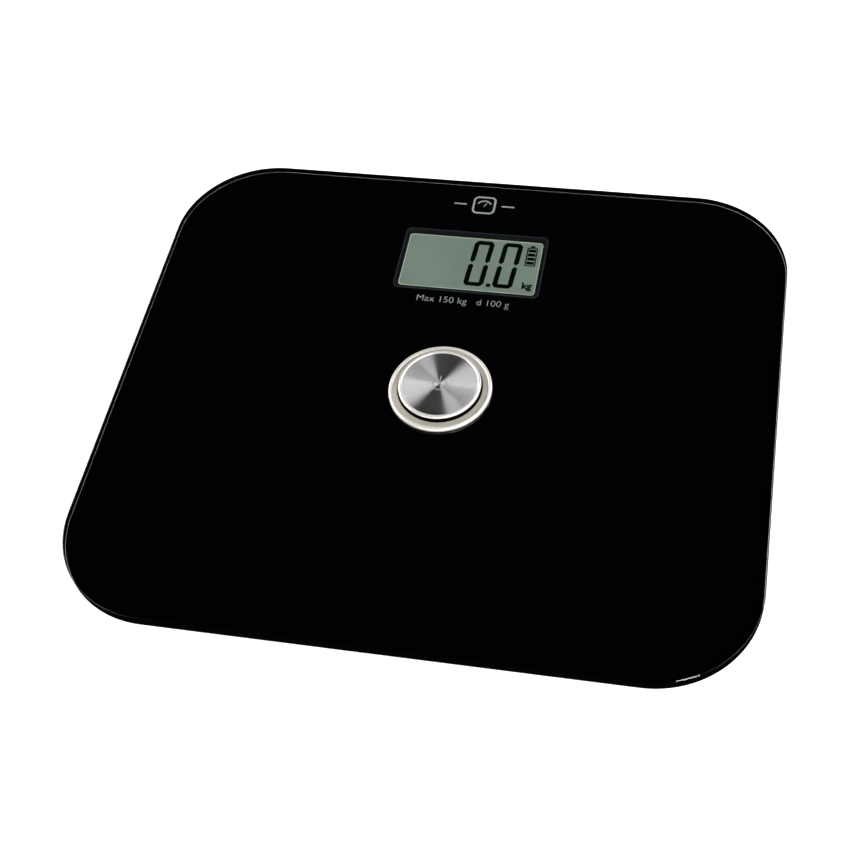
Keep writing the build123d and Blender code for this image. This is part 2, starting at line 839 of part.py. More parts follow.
def make_compound_gear(number):
    """One step-up gear: a small pinion driven by the stage before, beside its wheel."""
    x = axle_xs[number]
    pinion_y = pinion_ys[number]
    wheel_y = wheel_ys[number]
    with BuildPart() as compound_gear:
        with BuildSketch(upright(x, pinion_y[0], axle_z)):
            draw_gear(pinion_teeth, 180 / pinion_teeth)
        extrude(amount=pinion_y[0] - wheel_y[0])
        with BuildSketch(upright(x, wheel_y[0], axle_z)):
            draw_gear(wheel_teeth, 0)
        extrude(amount=wheel_y[0] - wheel_y[1])
        with BuildSketch(upright(x, pinion_y[0], axle_z)):
            Circle(axle_radius + axle_play)
        extrude(amount=pinion_y[0] - wheel_y[1], mode=Mode.SUBTRACT)
    save(compound_gear, f"step_up_gear_{number + 1}")


def make_gear_axles():
    """Three steel pins pressed into the chassis walls."""
    with BuildPart() as gear_axles:
        for x in axle_xs:
            with BuildSketch(upright(x, front_wall_y[0], axle_z)):
                Circle(axle_radius)
            extrude(amount=front_wall_y[0] - rear_wall_y[1])
    save(gear_axles, "gear_axles")


def make_mechanism_chassis():
    """Moulded frame with guide sockets, bearing walls and the generator's cradle."""
    plate_top = chassis_bottom + chassis_plate
    socket_size = leg_size + 2 * leg_socket_wall
    rack_back_x = rack_pitch_x - dedendum - rack_back - running_gap
    with BuildPart() as chassis:
        with BuildSketch(Plane.XY.offset(chassis_bottom)):
            with Locations((centre(chassis_x), centre(chassis_y))):
                RectangleRounded(chassis_x[1] - chassis_x[0], chassis_y[1] - chassis_y[0], chassis_corner)
        extrude(amount=chassis_plate)
        with BuildSketch(Plane.XY.offset(plate_top)):
            Circle(spring_seat_radius)
            with Locations(*leg_places):
                Rectangle(socket_size, socket_size)
        extrude(amount=spring_seat_height)
        with BuildSketch(Plane.XY.offset(plate_top)):
            with Locations(*leg_places):
                Rectangle(socket_size, socket_size)
            with Locations((rack_back_x, centre(rack_y))):
                Rectangle(rack_guide, rack_y[1] - rack_y[0], align=(Align.MAX, Align.CENTER))
            wall_start = rack_pitch_x - wall_overrun
            with Locations((wall_start, centre(front_wall_y))):
                front_wall_length = axle_xs[2] + wall_overrun - wall_start
                Rectangle(front_wall_length, wall_thickness, align=(Align.MIN, Align.CENTER))
            with Locations((wall_start, centre(rear_wall_y))):
                rear_wall_length = rotor_x + can_radius + wall_thickness - wall_start
                Rectangle(rear_wall_length, wall_thickness, align=(Align.MIN, Align.CENTER))
        extrude(amount=chassis_top - plate_top)
        # well for the gears and the rack, and through sockets for the legs
        with BuildSketch(Plane.XY.offset(chassis_bottom)):
            with Locations((rack_back_x, (front_wall_y[1] + rear_wall_y[0]) / 2)):
                well_length = rotor_x + gear_well_overrun - rack_back_x
                Rectangle(well_length, rear_wall_y[0] - front_wall_y[1], align=(Align.MIN, Align.CENTER))
        extrude(amount=chassis_plate, mode=Mode.SUBTRACT)
        with BuildSketch(Plane.XY.offset(chassis_bottom)):
            with Locations(*leg_places):
                Rectangle(leg_size + 2 * running_gap, leg_size + 2 * running_gap)
        extrude(amount=chassis_top - chassis_bottom, mode=Mode.SUBTRACT)
        with BuildSketch(Plane.XY.offset(chassis_bottom)):
            with Locations(*chassis_holes):
                Circle(pilot_radius + screw_clearance)
        extrude(amount=chassis_plate, mode=Mode.SUBTRACT)
        # cradle for the generator, axle holes and the way through for its shaft
        with BuildSketch(upright(rotor_x, can_y[0], axle_z)):
            Circle(can_radius)
        extrude(amount=can_y[0] - can_y[1] - end_cap_thickness, mode=Mode.SUBTRACT)
        with BuildSketch(upright(rotor_x, rear_wall_y[0], axle_z)):
            Circle(shaft_hole_radius)
        extrude(amount=rear_wall_y[0] - rear_wall_y[1], mode=Mode.SUBTRACT)
        for x in axle_xs:
            with BuildSketch(upright(x, front_wall_y[0], axle_z)):
                Circle(axle_radius)
            extrude(amount=front_wall_y[0] - rear_wall_y[1], mode=Mode.SUBTRACT)
    save(chassis, "mechanism_chassis")


def make_gear_cover():
    """Thin lid over the gears, open where the rack passes."""
    left = rack_pitch_x + addendum + gear_cover_gap
    with BuildPart() as gear_cover:
        with BuildSketch(Plane.XY.offset(chassis_top)):
            with Locations((left, (front_wall_y[0] + rear_wall_y[1]) / 2)):
                Rectangle(
                    rotor_x + can_radius - left,
                    rear_wall_y[1] - front_wall_y[0],
                    align=(Align.MIN, Align.CENTER),
                )
        extrude(amount=gear_cover_thickness)
    save(gear_cover, "gear_cover")


def make_generator():
    """Small permanent-magnet generator: can, coil, end cap and the turning parts."""
    with BuildPart() as generator_can:
        with BuildSketch(upright(rotor_x, can_y[0], axle_z)):
            Circle(can_radius)
            Circle(axle_radius + axle_play, mode=Mode.SUBTRACT)
        extrude(amount=can_y[0] - can_y[1])
        with BuildSketch(upright(rotor_x, can_y[0] + can_floor, axle_z)):
            Circle(can_radius - can_wall)
        extrude(amount=can_y[0] + can_floor - can_y[1], mode=Mode.SUBTRACT)
    save(generator_can, "generator_can")
    with BuildPart() as generator_coil:
        with BuildSketch(upright(rotor_x, coil_y[0], axle_z)):
            Circle(can_radius - can_wall)
            Circle(coil_inner, mode=Mode.SUBTRACT)
        extrude(amount=coil_y[0] - coil_y[1])
    save(generator_coil, "generator_coil")
    with BuildPart() as generator_end_cap:
        with BuildSketch(upright(rotor_x, can_y[1], axle_z)):
            Circle(can_radius)
            Circle(axle_radius + axle_play, mode=Mode.SUBTRACT)
        extrude(amount=-end_cap_thickness)
    save(generator_end_cap, "generator_end_cap")
    with BuildPart() as rotor_shaft:
        with BuildSketch(upright(rotor_x, rotor_pinion_y[0], axle_z)):
            Circle(axle_radius)
        extrude(amount=rotor_pinion_y[0] - can_y[1] - end_cap_thickness / 2)
    save(rotor_shaft, "rotor_shaft")
    with BuildPart() as rotor_magnet:
        with BuildSketch(upright(rotor_x, coil_y[0], axle_z)):
            Circle(magnet_radius)
            Circle(axle_radius, mode=Mode.SUBTRACT)
        extrude(amount=coil_y[0] - coil_y[1])
    save(rotor_magnet, "rotor_magnet")
    with BuildPart() as generator_pinion:
        with BuildSketch(upright(rotor_x, rotor_pinion_y[0], axle_z)):
            draw_gear(pinion_teeth, 180 / pinion_teeth)
            Circle(axle_radius, mode=Mode.SUBTRACT)
        extrude(amount=rotor_pinion_y[0] - rotor_pinion_y[1])
    save(generator_pinion, "generator_pinion")


def make_generator_lead():
    """Two-core lead from the generator's end cap to the board."""
    height = lead_height
    end_y = can_y[1] + end_cap_thickness
    with BuildPart() as generator_lead:
        with BuildLine() as route:
            FilletPolyline(
                (rotor_x, end_y, height), (rotor_x, end_y + 12, height), (28, 42, height), (26, 56, height), radius=6
            )
        with BuildSketch(Plane(origin=route.line @ 0, z_dir=route.line % 0)):
            Circle(lead_radius)
        sweep()
    save(generator_lead, "generator_lead")


def make_all():
    os.makedirs("parts", exist_ok=True)
    make_glass_platform()
    make_screen_print()
    make_platform_tape()
    make_base_tray()
    for corner in corners:
        make_foot_pad(corner)
        make_foot_cup(corner)
        make_load_cell(corner)
        make_load_cell_retainer(corner)
    make_strain_gauges()
    make_cell_lead("front_left", [(-97, -38), (-84, 2), (-56, 36), (-22, 58)])
    make_cell_lead("front_right", [(97, -38), (86, 2), (66, 36), (48, 58)])
    make_cell_lead("rear_left", [(-62, 77), (-44, 82), (-30, 80)])
    make_cell_lead("rear_right", [(68, 77), (56, 72)])
    make_screws("retainer_screws", retainer_holes, retainer_bottom + retainer_thickness, 6)
    make_screws("board_screws", board_holes, board_top, 5)
    make_screws("chassis_screws", chassis_holes, chassis_bottom + chassis_plate, 3.8)
    make_display_housing()
    make_lcd_stack()
    make_main_board()
    make_controller_chip()
    make_reservoir_capacitor()
    make_board_components()
    make_unit_key()
    make_unit_switch()
    make_button_ring()
    make_ring_seal()
    make_ring_nut()
    make_button_cap()
    make_button_plunger()
    make_return_spring()
    for number in range(len(axle_xs)):
        make_compound_gear(number)
    make_gear_axles()
    make_mechanism_chassis()
    make_gear_cover()
    make_generator()
    make_generator_lead()


make_all()
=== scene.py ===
import json
import math
import bmesh
import bpy
from mathutils import Matrix, Vector


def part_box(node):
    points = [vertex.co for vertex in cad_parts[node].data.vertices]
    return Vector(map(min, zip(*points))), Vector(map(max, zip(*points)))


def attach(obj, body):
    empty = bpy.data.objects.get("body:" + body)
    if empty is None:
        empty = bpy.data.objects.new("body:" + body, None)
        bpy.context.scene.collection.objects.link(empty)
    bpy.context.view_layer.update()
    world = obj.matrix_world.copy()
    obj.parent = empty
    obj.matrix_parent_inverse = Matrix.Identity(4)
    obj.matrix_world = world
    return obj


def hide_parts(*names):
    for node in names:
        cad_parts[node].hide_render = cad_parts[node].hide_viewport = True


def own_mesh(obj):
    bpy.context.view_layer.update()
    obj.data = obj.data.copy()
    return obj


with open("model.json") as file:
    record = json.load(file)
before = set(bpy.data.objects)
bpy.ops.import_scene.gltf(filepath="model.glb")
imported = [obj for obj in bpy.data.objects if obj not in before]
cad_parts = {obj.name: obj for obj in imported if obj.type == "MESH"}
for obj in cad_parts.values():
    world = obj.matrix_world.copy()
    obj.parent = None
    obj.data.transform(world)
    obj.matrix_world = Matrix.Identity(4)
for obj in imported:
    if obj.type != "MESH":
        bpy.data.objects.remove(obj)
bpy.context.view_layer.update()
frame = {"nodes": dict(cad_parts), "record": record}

mm = 0.001
nodes = frame["nodes"]
glassLow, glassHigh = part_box("glass_platform")
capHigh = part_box("button_cap")[1]
lcdLow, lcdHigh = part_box("lcd_polarizer")
glassTop = glassHigh.z
glassBottom = glassLow.z
print("frame loaded:", len(nodes), "nodes")


def toLinear(hexColour, alpha=1.0):
    channels = [int(hexColour[i:i + 2], 16) / 255 for i in (0, 2, 4)]
    linear = [c / 12.92 if c <= 0.04045 else ((c + 0.055) / 1.055) ** 2.4 for c in channels]
    return (*linear, alpha)


def addNode(tree, kind, settings=None, links=None):
    # a link comes from a socket, or from a node's first output
    node = tree.nodes.new("ShaderNode" + kind)
    for name, value in (settings or {}).items():
        if isinstance(name, str) and hasattr(node, name):
            setattr(node, name, value)
        else:
            node.inputs[name].default_value = value
    for socket, source in (links or {}).items():
        tree.links.new(getattr(source, "outputs", [source])[0], node.inputs[socket])
    return node


def newMaterial(name):
    material = bpy.data.materials.new(name)
    material.use_nodes = True
    material.node_tree.nodes.clear()
    tree = material.node_tree
    return material, tree, addNode(tree, "TexCoord").outputs["Object"]


def finishMaterial(material, shader):
    addNode(material.node_tree, "OutputMaterial", links={"Surface": shader})
    return material


noiseSpan = {"From Min": 0.3, "From Max": 0.7}      # where nearly all of a noise lies
patchSpan = {"From Min": 0.45, "From Max": 0.75}    # only its higher patches


def temperedGlass():
    # tempered soda-lime float glass: clear, faintly green, and very slightly smeared in scattered patches
    s = {"tint": "fbfdfc", "ior": 1.52, "smearMm": 38, "smear": 0.02}
    material, tree, coords = newMaterial("temperedFloatGlass")
    smear = addNode(tree, "TexNoise", {"Scale": 1 / (s["smearMm"] * mm), "Detail": 5.0}, {"Vector": coords})
    rough = addNode(tree, "MapRange", {**patchSpan, "To Min": 0.0, "To Max": s["smear"]}, {"Value": smear})
    glass = addNode(tree, "BsdfGlass", {"Color": toLinear(s["tint"]), "IOR": s["ior"]}, {"Roughness": rough})
    clear = addNode(tree, "BsdfTransparent", {"Color": toLinear(s["tint"])})
    shadow = addNode(tree, "LightPath").outputs["Is Shadow Ray"]     # light reaches what lies under the plate
    mix = addNode(tree, "MixShader", links={0: shadow, 1: glass, 2: clear})
    return finishMaterial(material, mix)


def flatPrintAndPaintedLight(name, s):
    # fired screen-print ink behind glass: matt and even, with mesh marks too fine to see one by one; the same
    # flat finish also gives the painted highlight, painted reflection and painted shade round the display
    material, tree, coords = newMaterial(name)
    weave = addNode(tree, "TexNoise", {"Scale": 1 / (s["grainMm"] * mm), "Detail": 2.0}, {"Vector": coords})
    share = addNode(tree, "MapRange", noiseSpan, {"Value": weave})
    colour = addNode(tree, "MixRGB", {"Color1": toLinear(s["colour"]), "Color2": toLinear(s["thin"])},
                     {"Fac": share})
    relief = addNode(tree, "Bump", {"Distance": 0.01 * mm, "Strength": 0.3}, {"Height": weave})
    shader = addNode(tree, "BsdfPrincipled", {"Roughness": s["roughness"], "Specular IOR Level": 0.0},
                     {"Base Color": colour, "Normal": relief})
    return finishMaterial(material, shader)


def mouldedPlastic(name, s):
    # moulded plastic: the mould's fine even grain, slow colour drift from the melt, spots polished by handling
    material, tree, coords = newMaterial(name)
    grain = addNode(tree, "TexNoise", {"Scale": 1 / (s["grainMm"] * mm), "Detail": 3.0}, {"Vector": coords})
    drift = addNode(tree, "TexNoise", {"Scale": 1 / (s["driftMm"] * mm), "Detail": 2.0}, {"Vector": coords})
    wear = addNode(tree, "TexNoise", {"Scale": 1 / (s["driftMm"] * 0.4 * mm), "Detail": 4.0}, {"Vector": coords})
    share = addNode(tree, "MapRange", noiseSpan, {"Value": drift})
    colour = addNode(tree, "MixRGB", {"Color1": toLinear(s["colour"]), "Color2": toLinear(s["second"])},
                     {"Fac": share})
    rough = addNode(tree, "MapRange", {**noiseSpan, "To Min": s["roughLow"], "To Max": s["roughHigh"]},
                    {"Value": wear})
    relief = addNode(tree, "Bump", {"Distance": s["depthMm"] * mm, "Strength": 0.5}, {"Height": grain})
    shader = addNode(tree, "BsdfPrincipled",
                     {"IOR": s.get("ior", 1.53), "Specular IOR Level": s.get("specular", 0.5)},
                     {"Base Color": colour, "Roughness": rough, "Normal": relief})
    return finishMaterial(material, shader)


def mouldedRubber(name, s):
    # filled rubber: dull, with a fine speckle of filler and pale dust worked into the surface
    material, tree, coords = newMaterial(name)
    speckle = addNode(tree, "TexNoise", {"Scale": 1 / (s["grainMm"] * mm), "Detail": 4.0}, {"Vector": coords})
    patches = addNode(tree, "TexNoise", {"Scale": 1 / (s["dustMm"] * mm), "Detail": 5.0}, {"Vector": coords})
    share = addNode(tree, "MapRange", noiseSpan, {"Value": speckle})
    dust = addNode(tree, "MapRange", {**patchSpan, "To Min": 0.0, "To Max": s["dustShare"]}, {"Value": patches})
    base = addNode(tree, "MixRGB", {"Color1": toLinear(s["colour"]), "Color2": toLinear(s["second"])},
                   {"Fac": share})
    colour = addNode(tree, "MixRGB", {"Color2": toLinear(s["dust"])}, {"Fac": dust, "Color1": base})
    rough = addNode(tree, "MapRange", {**noiseSpan, "To Min": s["roughLow"], "To Max": s["roughHigh"]},
                    {"Value": speckle})
    relief = addNode(tree, "Bump", {"Distance": s["depthMm"] * mm, "Strength": 0.5}, {"Height": speckle})
    shader = addNode(tree, "BsdfPrincipled", {"IOR": 1.52},
                     {"Base Color": colour, "Roughness": rough, "Normal": relief})
    return finishMaterial(material, shader)


def rolledMetal(name, s):
    # rolled, stamped or drawn metal: fine lines one way, cloudy oxide or plating
    material, tree, coords = newMaterial(name)
    along = addNode(tree, "Mapping", {"Scale": s["stretch"]}, {"Vector": coords})
    lines = addNode(tree, "TexNoise", {"Scale": 1 / (s["lineMm"] * mm), "Detail": 3.0}, {"Vector": along})
    cloud = addNode(tree, "TexNoise", {"Scale": 1 / (s["cloudMm"] * mm), "Detail": 4.0}, {"Vector": coords})
    share = addNode(tree, "MapRange", noiseSpan, {"Value": cloud})
    colour = addNode(tree, "MixRGB", {"Color1": toLinear(s["colour"]), "Color2": toLinear(s["second"])},
                     {"Fac": share})
    rough = addNode(tree, "MapRange", {**noiseSpan, "To Min": s["roughLow"], "To Max": s["roughHigh"]},
                    {"Value": lines})
    relief = addNode(tree, "Bump", {"Distance": s["depthMm"] * mm, "Strength": 0.4}, {"Height": lines})
    shader = addNode(tree, "BsdfPrincipled", {"Metallic": 1.0},
                     {"Base Color": colour, "Roughness": rough, "Normal": relief})
    return finishMaterial(material, shader)


def turnedMetal(name, s):
    # metal finished on a lathe: fine rings round the axis, so highlights run out from the middle
    material, tree, coords = newMaterial(name)
    flat = addNode(tree, "VectorMath", {"operation": "MULTIPLY", 1: (1, 1, 0)}, {0: coords})
    radius = addNode(tree, "VectorMath", {"operation": "LENGTH"}, {0: flat}).outputs["Value"]
    turns = addNode(tree, "Math", {"operation": "MULTIPLY", 1: 1 / (s["ringMm"] * mm)}, {0: radius})
    rings = addNode(tree, "TexNoise", {"noise_dimensions": "1D", "Scale": 1.0, "Detail": 4.0}, {"W": turns})
    cloud = addNode(tree, "TexNoise", {"Scale": 1 / (s["cloudMm"] * mm), "Detail": 4.0}, {"Vector": coords})
    blend = addNode(tree, "Math", {"operation": "MULTIPLY"}, {0: rings, 1: cloud})
    share = addNode(tree, "MapRange", {"From Min": 0.12, "From Max": 0.4}, {"Value": blend})
    colour = addNode(tree, "MixRGB", {"Color1": toLinear(s["colour"]), "Color2": toLinear(s["second"])},
                     {"Fac": share})
    rough = addNode(tree, "MapRange", {**noiseSpan, "To Min": s["roughLow"], "To Max": s["roughHigh"]},
                    {"Value": rings})
    tangent = addNode(tree, "Tangent", {"direction_type": "RADIAL", "axis": "Z"})
    relief = addNode(tree, "Bump", {"Distance": s["depthMm"] * mm, "Strength": s["bump"]}, {"Height": rings})
    shader = addNode(tree, "BsdfPrincipled",
                     {"Metallic": s["metallic"], "Anisotropic": s["anisotropic"],
                      "Anisotropic Rotation": s["rotation"]},
                     {"Base Color": colour, "Roughness": rough, "Tangent": tangent, "Normal": relief})
    return finishMaterial(material, shader)


def liquidCrystal(s):
    # reflective liquid-crystal cell behind its polarizer: a dull grey-green ground, a little uneven,
    # with the faint sparkle of the brushed reflector
    material, tree, coords = newMaterial("reflectiveLiquidCrystal")
    sparkle = addNode(tree, "TexNoise", {"Scale": 1 / (s["sparkleMm"] * mm), "Detail": 2.0}, {"Vector": coords})
    cloud = addNode(tree, "TexNoise", {"Scale": 1 / (s["cloudMm"] * mm), "Detail": 2.0}, {"Vector": coords})
    share = addNode(tree, "MapRange", noiseSpan, {"Value": cloud})
    colour = addNode(tree, "MixRGB", {"Color1": toLinear(s["ground"]), "Color2": toLinear(s["groundSecond"])},
                     {"Fac": share})
    rough = addNode(tree, "MapRange", {**noiseSpan, "To Min": 0.4, "To Max": 0.55}, {"Value": sparkle})
    relief = addNode(tree, "Bump", {"Distance": 0.01 * mm, "Strength": 0.2}, {"Height": sparkle})
    shader = addNode(tree, "BsdfPrincipled", {"IOR": 1.49},
                     {"Base Color": colour, "Roughness": rough, "Normal": relief})
    return finishMaterial(material, shader)


def circuitLaminate():
    # glass-fibre laminate under green solder mask: the weave shows faintly, copper shows as paler paths
    s = {"mask": "0f5a32", "copper": "2a7a45", "weaveMm": 1.2, "trackMm": 3.5}
    material, tree, coords = newMaterial("solderMaskedLaminate")
    track = addNode(tree, "TexBrick",
                    {"Scale": 1 / (s["trackMm"] * mm), "Mortar Size": 0.03, "Color1": toLinear(s["mask"]),
                     "Color2": toLinear(s["mask"]), "Mortar": toLinear(s["copper"])}, {"Vector": coords})
    weave = addNode(tree, "TexNoise", {"Scale": 1 / (s["weaveMm"] * mm), "Detail": 2.0}, {"Vector": coords})
    rough = addNode(tree, "MapRange", {**noiseSpan, "To Min": 0.3, "To Max": 0.5}, {"Value": weave})
    relief = addNode(tree, "Bump", {"Distance": 0.03 * mm, "Strength": 0.5}, {"Height": weave})
    shader = addNode(tree, "BsdfPrincipled", {"Coat Weight": 0.4},
                     {"Base Color": track, "Roughness": rough, "Normal": relief})
    return finishMaterial(material, shader)


def roundedLoop(bm, width, depth, radius, centre, z, steps):
    # a rounded rectangle's edges, without its face
    place = Matrix.Translation((centre[0], centre[1], z)) @ Matrix.Diagonal((width / 2, depth / 2, 1, 1))
    made = bmesh.ops.create_grid(bm, x_segments=1, y_segments=1, size=1, matrix=place)
    corners = made["verts"]
    face = corners[0].link_faces[0]
    if radius > 0:
        rounded = bmesh.ops.bevel(bm, geom=corners, offset=radius, segments=steps, profile=0.5,
                                  affect="VERTICES", material=-1)
        face = max({f for v in rounded["verts"] for f in v.link_faces}, key=lambda f: f.calc_area())
    edges = list(face.edges)
    bmesh.ops.delete(bm, geom=[face], context="FACES_ONLY")
    return edges


def circleLoop(bm, radius, centre, z, steps):
    made = bmesh.ops.create_circle(bm, cap_ends=False, radius=radius, segments=steps,
                                   matrix=Matrix.Translation((centre[0], centre[1], z)))
    return list({e for v in made["verts"] for e in v.link_edges})


def fillAndRaise(bm, edges, height):
    # a flat shape between its outlines, drawn up into a plate
    bmesh.ops.triangle_fill(bm, edges=edges, use_beauty=True)
    bmesh.ops.recalc_face_normals(bm, faces=bm.faces)
    raised = bmesh.ops.extrude_face_region(bm, geom=list(bm.faces))
    lifted = [g for g in raised["geom"] if isinstance(g, bmesh.types.BMVert)]
    bmesh.ops.translate(bm, verts=lifted, vec=(0, 0, height))
    bmesh.ops.recalc_face_normals(bm, faces=bm.faces)


def makePiece(name, bm, materials, sharpDegrees=32):
    mesh = bpy.data.meshes.new(name)
    bm.to_mesh(mesh)
    bm.free()
    for material in materials:
        mesh.materials.append(material)
    mesh.shade_smooth()
    mesh.set_sharp_from_angle(angle=math.radians(sharpDegrees))
    piece = bpy.data.objects.new(name, mesh)
    bpy.context.scene.collection.objects.link(piece)
    return piece


def spinProfile(bm, outline, steps):
    # turns a closed outline of (radius, height) points into a ring about the Z axis
    verts = [bm.verts.new((r, 0, z)) for r, z in outline]
    edges = [bm.edges.new((verts[i - 1], verts[i])) for i in range(len(verts))]
    bmesh.ops.spin(bm, geom=verts + edges, cent=(0, 0, 0), axis=(0, 0, 1), dvec=(0, 0, 0),
                   angle=2 * math.pi, steps=steps, use_merge=True)
    bmesh.ops.remove_doubles(bm, verts=bm.verts, dist=1e-6)
    bmesh.ops.recalc_face_normals(bm, faces=bm.faces)


def arcPoints(centre, radius, startDegrees, endDegrees, count):
    turns = [math.radians(startDegrees + (endDegrees - startDegrees) * i / (count - 1)) for i in range(count)]
    return [(centre[0] + radius * math.cos(t), centre[1] + radius * math.sin(t)) for t in turns]


camera = {"azimuth": 15.91, "elevation": 54.83, "roll": -7.41, "distance": 0.6502,
          "aside": 0.01607, "above": -0.01592, "lens": 61.0, "shift": -0.06}


def setCamera(s):
    az, el, roll = (math.radians(s[k]) for k in ("azimuth", "elevation", "roll"))
    back = Vector((math.sin(az) * math.cos(el), -math.cos(az) * math.cos(el), math.sin(el)))
    right = Vector((math.cos(az), math.sin(az), 0))
    up = back.cross(right)
    imageRight = right * math.cos(roll) + up * math.sin(roll)
    imageUp = up * math.cos(roll) - right * math.sin(roll)
    place = Vector((0, 0, glassTop)) + back * s["distance"] + imageRight * s["aside"] + imageUp * s["above"]
    data = bpy.data.cameras.new("mainCamera")
    data.lens = s["lens"]
    data.sensor_width = 36
    data.shift_x = s["shift"]
    data.clip_start = 0.01
    item = bpy.data.objects.new("mainCamera", data)
    item.matrix_world = Matrix.Translation(place) @ Matrix((imageRight, imageUp, back)).transposed().to_4x4()
    bpy.context.scene.collection.objects.link(item)
    bpy.context.scene.camera = item


setCamera(camera)
print("camera set")


studio = {
    "floor": "f6f6f5", "floorSecond": "f3f3f2", "toneMm": 400, "floorSize": 8.0, "floorGlow": 0.55,
    "horizon": 1.0, "zenith": 0.0, "fadeLow": 0.2, "fadeHigh": 0.42,
    "lamps": {
        "leftSoftbox": {"at": (-1.5, 0.32, 1.02), "size": (1.8, 0.95), "watts": 32},
        "rightSoftbox": {"at": (1.35, 0.35, 1.05), "size": (2.0, 1.0), "watts": 30},
        "cornerSoftbox": {"at": (1.05, -1.0, 1.0), "size": (1.15, 0.9), "watts": 34},
        "frontSoftbox": {"at": (-0.2, -1.9, 0.28), "size": (2.2, 0.3), "watts": 12},
    },
}


def softbox(name, s):
    data = bpy.data.lights.new(name, "AREA")
    data.shape = "RECTANGLE"
    data.size, data.size_y = s["size"]
    data.energy = s["watts"]
    lamp = bpy.data.objects.new(name, data)
    at = Vector(s["at"])
    lamp.matrix_world = Matrix.Translation(at) @ (-at).to_track_quat("-Z", "Y").to_matrix().to_4x4()
    bpy.context.scene.collection.objects.link(lamp)


def makeStudio(s):
    for name, lamp in s["lamps"].items():
        softbox(name, lamp)
    world = bpy.data.worlds.new("studioWorld")
    bpy.context.scene.world = world
    world.use_nodes = True
    tree = world.node_tree
    tree.nodes.clear()
    direction = addNode(tree, "TexCoord").outputs["Generated"]
    height = addNode(tree, "SeparateXYZ", links={"Vector": direction}).outputs["Z"]
    glow = addNode(tree, "MapRange",
                   {"From Min": s["fadeLow"], "From Max": s["fadeHigh"], "To Min": s["horizon"],
                    "To Max": s["zenith"], "interpolation_type": "SMOOTHSTEP"}, {"Value": height})
    light = addNode(tree, "Background", links={"Strength": glow})
    addNode(tree, "OutputWorld", links={"Surface": light})
    bm = bmesh.new()
    bmesh.ops.create_grid(bm, x_segments=1, y_segments=1, size=s["floorSize"] / 2)
    # white acrylic table lit from below, so shadows on it stay faint
    material, floorTree, coords = newMaterial("whiteAcrylicTable")
    tone = addNode(floorTree, "TexNoise", {"Scale": 1 / (s["toneMm"] * mm), "Detail": 3.0}, {"Vector": coords})
    colour = addNode(floorTree, "MixRGB",
                     {"Color1": toLinear(s["floor"]), "Color2": toLinear(s["floorSecond"])}, {"Fac": tone})
    shader = addNode(floorTree, "BsdfPrincipled",
                     {"Roughness": 0.9, "Specular IOR Level": 0.1, "Emission Strength": s["floorGlow"]},
                     {"Base Color": colour, "Emission Color": colour})
    makePiece("studioFloor", bm, [finishMaterial(material, shader)])


makeStudio(studio)
bpy.context.scene.view_settings.view_transform = "Standard"
print("studio ready")


platform = {"corner": 46.0, "hole": 21.6, "arris": 0.4, "cornerSteps": 24, "arrisSteps": 1, "holeSteps": 128,
            "outsideFrom": 100.0, "sharp": 15}
ink = {"windowCorner": 3.0, "windowWidth": 70.8, "windowDepth": 38.5, "windowY": 79.5, "bond": 0.02}


def makeGlassPlatform(s):
    bm = bmesh.new()
    size = glassHigh - glassLow
    edges = roundedLoop(bm, size.x, size.y, s["corner"] * mm, (0, 0), glassBottom, s["cornerSteps"])
    edges += circleLoop(bm, s["hole"] * mm, (0, 0), glassBottom, s["holeSteps"])
    fillAndRaise(bm, edges, size.z)
    outside = [e for e in bm.edges if len(e.link_faces) == 2 and e.calc_face_angle() > math.radians(70)
               and min(v.co.xy.length for v in e.verts) > s["outsideFrom"] * mm]
    bmesh.ops.bevel(bm, geom=outside, offset=s["arris"] * mm, segments=s["arrisSteps"], profile=0.5,
                    affect="EDGES", material=-1)
    edgeEnamel = flatPrintAndPaintedLight("blackEdgeEnamel", {
        "colour": "010101", "thin": "030303", "grainMm": 0.4, "roughness": 0.5})
    piece = makePiece("glassPlate", bm, [temperedGlass(), edgeEnamel], s["sharp"])
    for face in piece.data.polygons:
        # black enamel on the ground edge and its lower arris
        if -0.95 < face.normal.z < 0.3 and face.center.xy.length > s["outsideFrom"] * mm:
            face.material_index = 1
    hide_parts("glass_platform")
    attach(piece, "base")


def makeInkLayer(s):
    # the print is fused to the glass, so its top lies just inside the plate and no air shows between them
    bm = bmesh.new()
    inkLow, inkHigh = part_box("screen_print")
    width, depth = inkHigh.x - inkLow.x, inkHigh.y - inkLow.y
    margin = glassHigh.x - inkHigh.x
    edges = roundedLoop(bm, width, depth, platform["corner"] * mm - margin, (0, 0), inkLow.z,
                        platform["cornerSteps"])
    edges += circleLoop(bm, platform["hole"] * mm, (0, 0), inkLow.z, platform["holeSteps"])
    edges += roundedLoop(bm, s["windowWidth"] * mm, s["windowDepth"] * mm, s["windowCorner"] * mm,
                         (0, s["windowY"] * mm), inkLow.z, 8)
    fillAndRaise(bm, edges, glassBottom + s["bond"] * mm - inkLow.z)
    material = flatPrintAndPaintedLight("blackGlassInk", {
        "colour": "010102", "thin": "020203", "grainMm": 0.5, "roughness": 0.6})
    piece = makePiece("blackPrint", bm, [material])
    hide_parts("screen_print")
    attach(piece, "base")


makeGlassPlatform(platform)
makeInkLayer(ink)
print("glass and print made")


marks = {
    "rise": 0.05, "line": "7b7e7d", "border": "20262a", "borderWidth": 0.5,
    "iconCentre": (0.0, 117.0), "iconSize": 11.5, "iconStroke": 1.0, "iconCorner": 0.24, "dashLength": 6.5,
    "dashGap": 3.0, "thinShare": 0.8, "dialRadius": 3.9, "dialFrom": 25, "dialTo": 155, "dialSteps": 17,
    "dialDrop": 0.6, "needle": ((-0.35, -0.9), (0.35, -0.9), (1.5, 1.7), (1.2, 1.8)),
    "caption": "Max 150 kg   d 100 g", "captionCentre": (0.15, 54.4), "captionWidth": 44.5,
}


